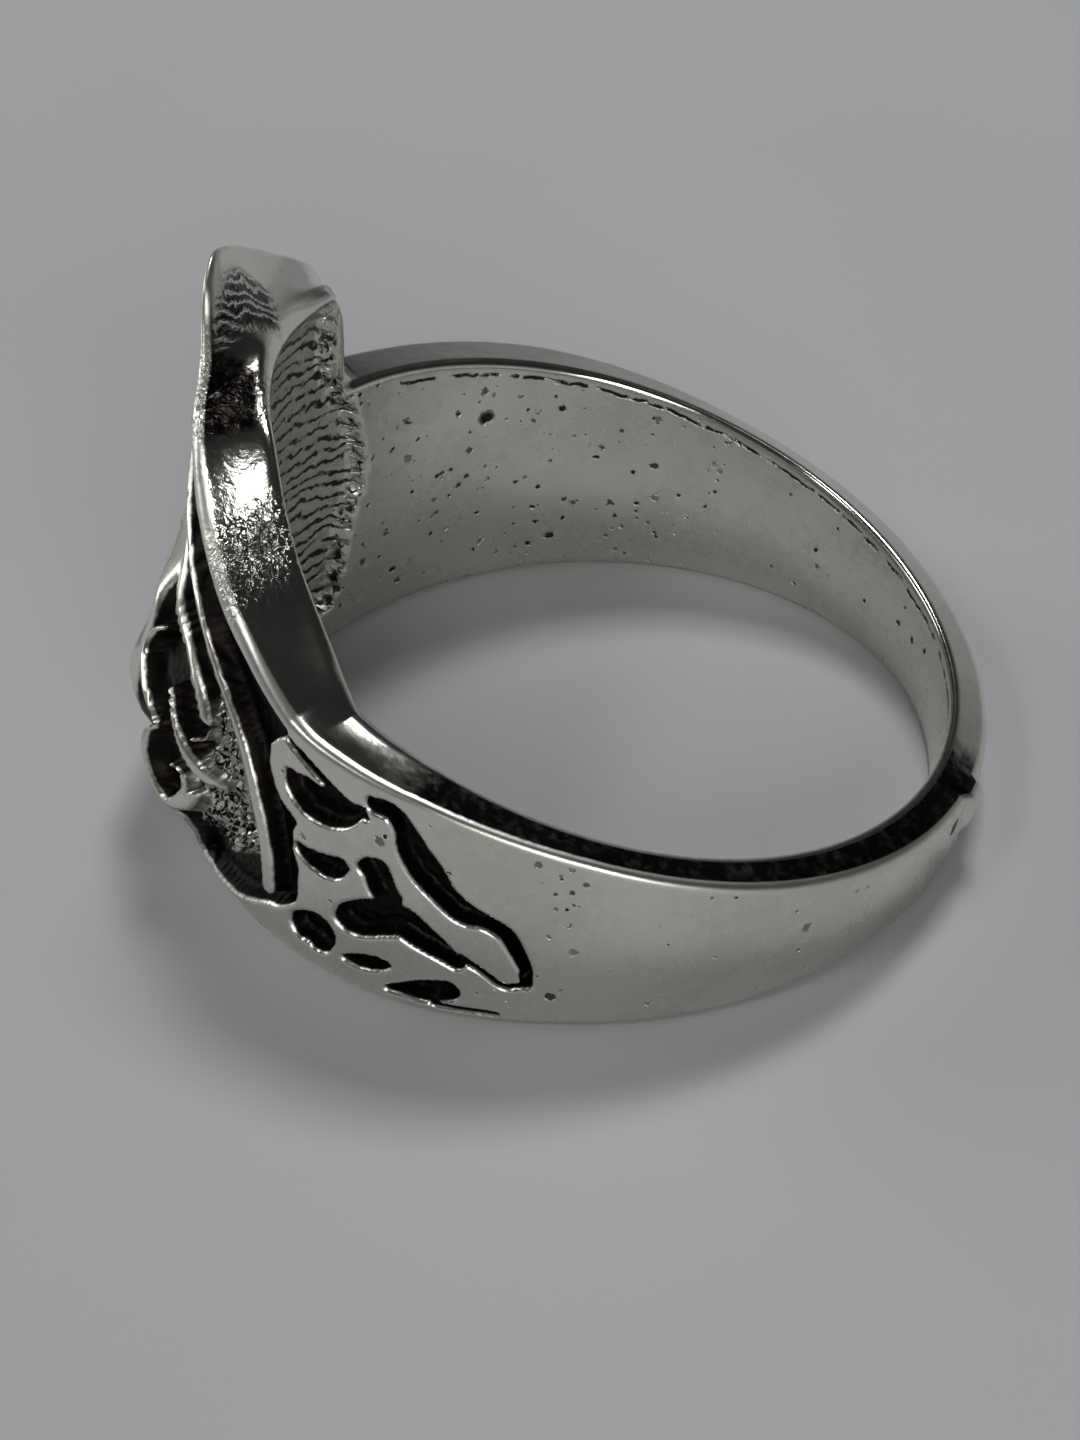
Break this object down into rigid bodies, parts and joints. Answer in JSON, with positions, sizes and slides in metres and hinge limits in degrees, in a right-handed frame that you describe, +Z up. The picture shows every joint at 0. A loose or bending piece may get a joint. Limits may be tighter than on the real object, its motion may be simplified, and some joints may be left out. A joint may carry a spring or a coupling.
{
  "type": "cast finger ring",
  "caption": "Tapered cast finger ring with a tall relief head plate that carries a plain skull, modelled lying on its lower rim.",
  "frame": {"origin": "middle of the footprint's bounding box, on the level lower rim", "axes": "+Z up from the level lower rim, -Y out of the head, +Y out of the back of the band, +X out of the side with the longer sweep of the head plate"},
  "size_m": [0.0218, 0.023, 0.0155],
  "materials": {
    "silver": "polished silver-coloured cast alloy, darkened in the recesses"
  },
  "bodies": {
    "root": {"cast_ring": "silver"}
  },
  "joints": []
}
